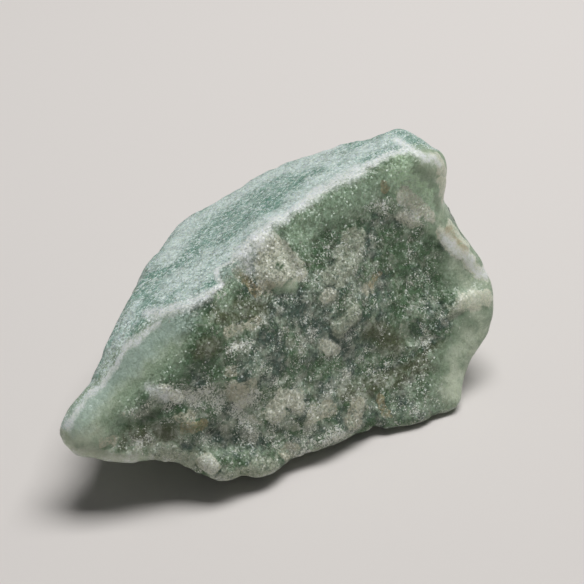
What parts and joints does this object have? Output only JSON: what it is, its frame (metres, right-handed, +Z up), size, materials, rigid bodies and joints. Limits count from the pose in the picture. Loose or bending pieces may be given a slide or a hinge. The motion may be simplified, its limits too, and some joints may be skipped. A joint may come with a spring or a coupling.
{
  "type": "raw aventurine stone",
  "caption": "Raw, broken chunk of green aventurine quartz with a pointed end and a rough front, lying on a small flat spot.",
  "frame": {"origin": "on the surface that the stone lies on, under the middle of its length and width", "axes": "+X along the stone from its point to its thick end, +Y from the rough front to the back, +Z up"},
  "size_m": [0.0878, 0.0558, 0.0454],
  "materials": {
    "aventurine": "rough broken quartz, grainy, slightly translucent"
  },
  "bodies": {
    "root": {"aventurine": "aventurine"}
  },
  "joints": []
}
